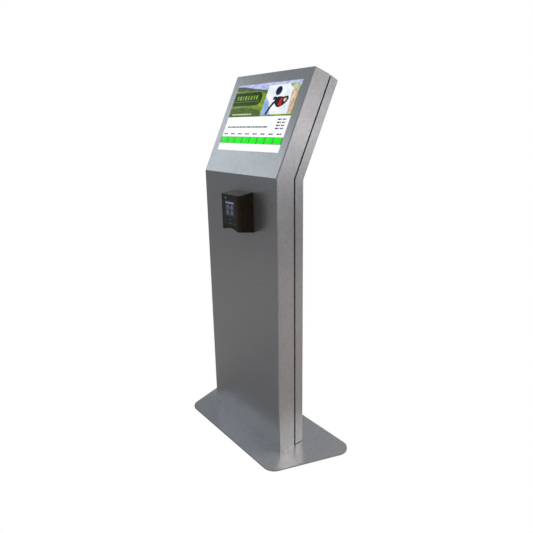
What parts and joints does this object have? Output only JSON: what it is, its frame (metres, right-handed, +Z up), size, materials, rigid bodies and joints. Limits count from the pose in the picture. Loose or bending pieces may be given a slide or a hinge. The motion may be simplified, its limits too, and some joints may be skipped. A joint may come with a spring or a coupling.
{
  "type": "touchscreen kiosk",
  "caption": "Free-standing touchscreen kiosk: bent sheet-steel column on a flared floor plate, leaning display head, hinged rear door and contactless card reader.",
  "frame": {"origin": "on the floor at the centre of the column's footprint, on the underside of the floor plate", "axes": "+Z up, -Y towards the user in front of the screen, +X to the user's right"},
  "size_m": [0.8116, 0.3969, 1.5021],
  "materials": {
    "coat": "fine metallic silver-grey powder coat, satin",
    "black_steel": "matt black powder coat",
    "zinc": "bright zinc plate",
    "chromed": "polished chrome plate",
    "galvanised": "galvanised sheet",
    "rubber": "matt black rubber",
    "filter_foam": "open-cell filter foam",
    "black_plastic": "fine-textured black plastic",
    "gloss_black": "gloss black face",
    "touch_glass": "clear touch glass",
    "display_surface": "backlit display surface in a black bezel",
    "reader_display": "small backlit display window",
    "light_pipe": "moulded clear light pipes",
    "circuit_board": "green solder resist",
    "grey_plastic": "moulded grey plastic",
    "red_plastic": "gloss red plastic",
    "cable_black": "black cable jacket",
    "earth_insulation": "green and yellow insulation",
    "brass": "plain brass"
  },
  "bodies": {
    "cabinet": {"base_plate": "coat", "cable_grommet": "rubber", "column_bolts": "zinc", "front_shell": "coat", "inner_frame": "black_steel", "frame_screws": "zinc", "door_gasket": "rubber", "hinge_frame_leaves": "zinc", "hinge_pins": "zinc", "lock_strikes": "black_steel", "touch_glass": "touch_glass", "glass_gasket": "rubber", "lcd_panel": "display_surface", "display_chassis": "galvanised", "display_nuts": "zinc", "lcd_controller": "circuit_board", "touch_controller": "circuit_board", "equipment_panel": "galvanised", "panel_screws": "zinc", "pc_case": "black_steel", "pc_screws": "zinc", "power_supply": "galvanised", "terminal_block": "grey_plastic", "mains_inlet": "black_plastic", "reader_bracket": "black_steel", "reader_housing": "black_plastic", "reader_face": "gloss_black", "reader_display": "reader_display", "reader_light_pipes": "light_pipe", "reader_board": "circuit_board", "reader_screws": "zinc", "reader_grommet": "rubber", "mains_cable": "cable_black", "dc_cable": "cable_black", "display_cable": "cable_black", "reader_cable": "cable_black", "earth_lead": "earth_insulation", "earth_nut": "brass"},
    "rear_door": {"rear_door": "coat", "door_stiffeners": "galvanised", "hinge_door_leaves": "zinc", "vent_filter": "filter_foam", "filter_retainer": "galvanised", "lock_bodies": "chromed", "lock_nuts": "zinc", "fan_frame": "black_plastic", "fan_guard": "zinc", "fan_screws": "zinc"},
    "upper_lock": {"upper_lock_plug": "chromed", "upper_lock_cam": "zinc", "upper_cam_screw": "zinc"},
    "lower_lock": {"lower_lock_plug": "chromed", "lower_lock_cam": "zinc", "lower_cam_screw": "zinc"},
    "fan_rotor": {"fan_rotor": "black_plastic"},
    "inlet_rocker": {"inlet_rocker": "red_plastic"},
    "pc_button": {"pc_button": "chromed"}
  },
  "joints": [
    {"name": "door_hinge", "type": "hinge", "parent": "cabinet", "child": "rear_door", "pos_m": [-0.241, 0.02, 0.56], "axis": [0, 0, 1], "range_deg": [0, 110]},
    {"name": "upper_lock_turn", "type": "hinge", "parent": "rear_door", "child": "upper_lock", "pos_m": [0.178, 0.0635, 0.93], "axis": [0, 1, 0], "range_deg": [0, 90]},
    {"name": "lower_lock_turn", "type": "hinge", "parent": "rear_door", "child": "lower_lock", "pos_m": [0.178, 0.0635, 0.33], "axis": [0, 1, 0], "range_deg": [0, 90]},
    {"name": "fan_spin", "type": "hinge", "parent": "rear_door", "child": "fan_rotor", "pos_m": [0, 0.15037, 1.325], "axis": [0, -0.9003, 0.4352], "continuous": true},
    {"name": "rocker_tilt", "type": "hinge", "parent": "cabinet", "child": "inlet_rocker", "pos_m": [-0.12, 0.0325, 0.342], "axis": [1, 0, 0], "range_deg": [0, 20]},
    {"name": "button_press", "type": "slide", "parent": "cabinet", "child": "pc_button", "axis": [0, -1, 0], "range_m": [0, 0.0015]}
  ]
}
